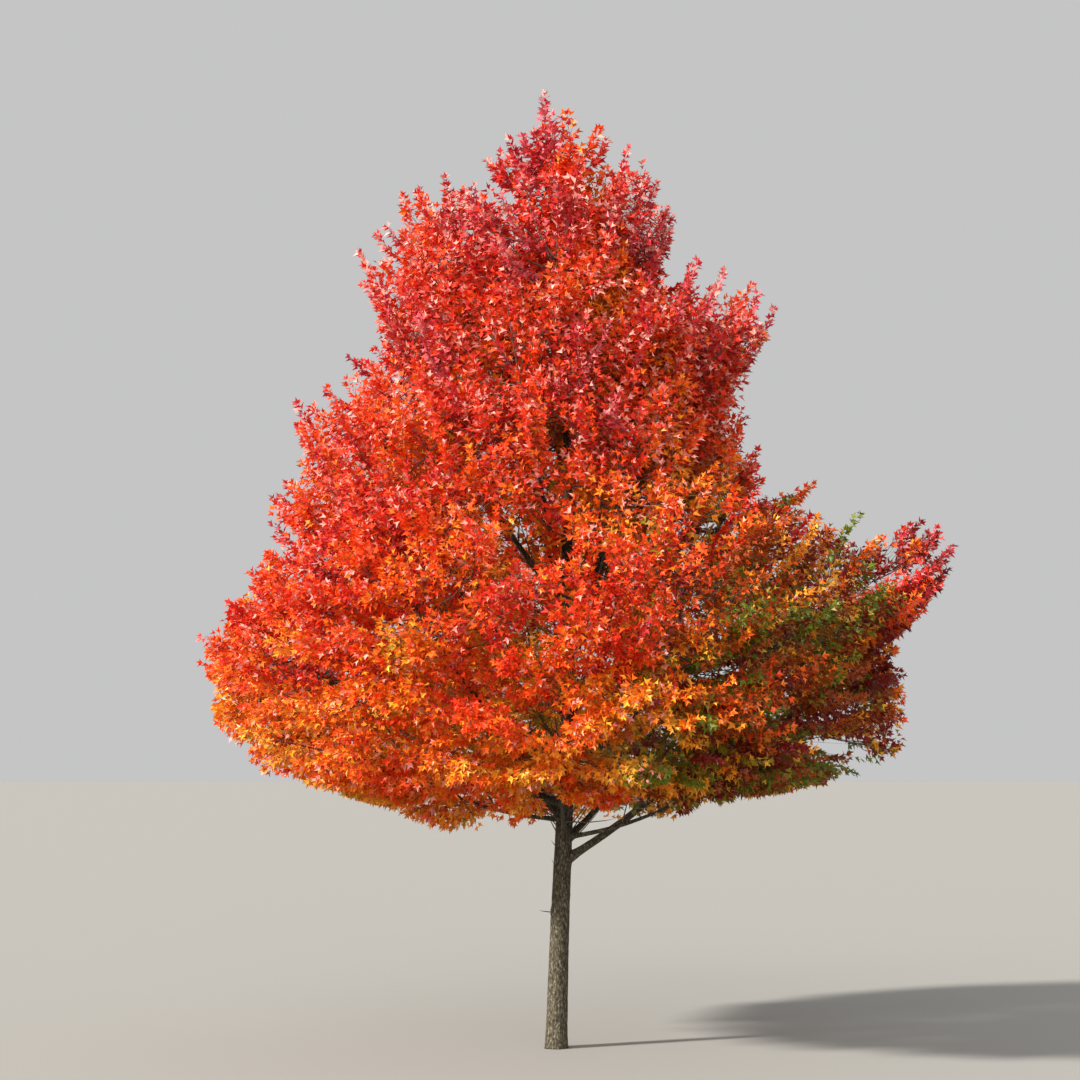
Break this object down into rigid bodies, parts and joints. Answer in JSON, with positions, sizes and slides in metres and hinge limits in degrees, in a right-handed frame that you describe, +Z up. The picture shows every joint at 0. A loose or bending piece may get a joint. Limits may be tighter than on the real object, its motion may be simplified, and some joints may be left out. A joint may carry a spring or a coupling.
{
  "type": "maple tree",
  "caption": "Young maple in autumn leaf: a bare leaning trunk with a slight root flare under a broad, ovoid crown of foliage masses on rising boughs, rooted at a flat cut.",
  "frame": {"origin": "centre of the flat cut under the trunk, at ground level", "axes": "+Z up, +X to the right of the tree as seen from its front, +Y to its back"},
  "size_m": [5.9032, 5.2029, 7.5975],
  "materials": {
    "bark": "mottled grey-brown bark with fine furrows, matt",
    "leaves_crimson": "matt, each leaf in one plain tint, lighter and slightly glossy where lit",
    "leaves_scarlet": "matt, each leaf in one plain tint, lighter and slightly glossy where lit",
    "leaves_orange": "matt, each leaf in one plain tint, lighter and slightly glossy where lit",
    "leaves_amber": "matt, each leaf in one plain tint, lighter and slightly glossy where lit",
    "leaves_olive": "matt, each leaf in one plain tint, lighter and slightly glossy where lit"
  },
  "bodies": {
    "root": {"trunk": "bark", "bough_low_1": "bark", "bough_low_2": "bark", "bough_low_3": "bark", "bough_low_4": "bark", "bough_low_5": "bark", "bough_low_6": "bark", "bough_wide_1": "bark", "bough_wide_2": "bark", "bough_wide_3": "bark", "bough_wide_4": "bark", "bough_wide_5": "bark", "bough_wide_6": "bark", "bough_middle_1": "bark", "bough_middle_2": "bark", "bough_middle_3": "bark", "bough_middle_4": "bark", "bough_middle_5": "bark", "bough_upper_1": "bark", "bough_upper_2": "bark", "bough_upper_3": "bark", "bough_upper_4": "bark", "bough_upper_5": "bark", "bough_high_1": "bark", "bough_high_2": "bark", "bough_high_3": "bark", "bough_high_4": "bark", "foliage_low_1": "leaves_olive", "foliage_low_2": "leaves_orange", "foliage_low_3": "leaves_orange", "foliage_low_4": "leaves_orange", "foliage_low_5": "leaves_orange", "foliage_low_6": "leaves_olive", "foliage_wide_1": "leaves_orange", "foliage_wide_2": "leaves_orange", "foliage_wide_3": "leaves_scarlet", "foliage_wide_4": "leaves_scarlet", "foliage_wide_5": "leaves_scarlet", "foliage_wide_6": "leaves_orange", "foliage_middle_1": "leaves_orange", "foliage_middle_2": "leaves_scarlet", "foliage_middle_3": "leaves_scarlet", "foliage_middle_4": "leaves_scarlet", "foliage_middle_5": "leaves_scarlet", "foliage_upper_1": "leaves_crimson", "foliage_upper_2": "leaves_scarlet", "foliage_upper_3": "leaves_crimson", "foliage_upper_4": "leaves_scarlet", "foliage_upper_5": "leaves_crimson", "foliage_high_1": "leaves_crimson", "foliage_high_2": "leaves_crimson", "foliage_high_3": "leaves_crimson", "foliage_high_4": "leaves_crimson", "foliage_inner_low": "leaves_amber", "foliage_inner_middle": "leaves_amber", "foliage_top": "leaves_crimson"}
  },
  "joints": []
}
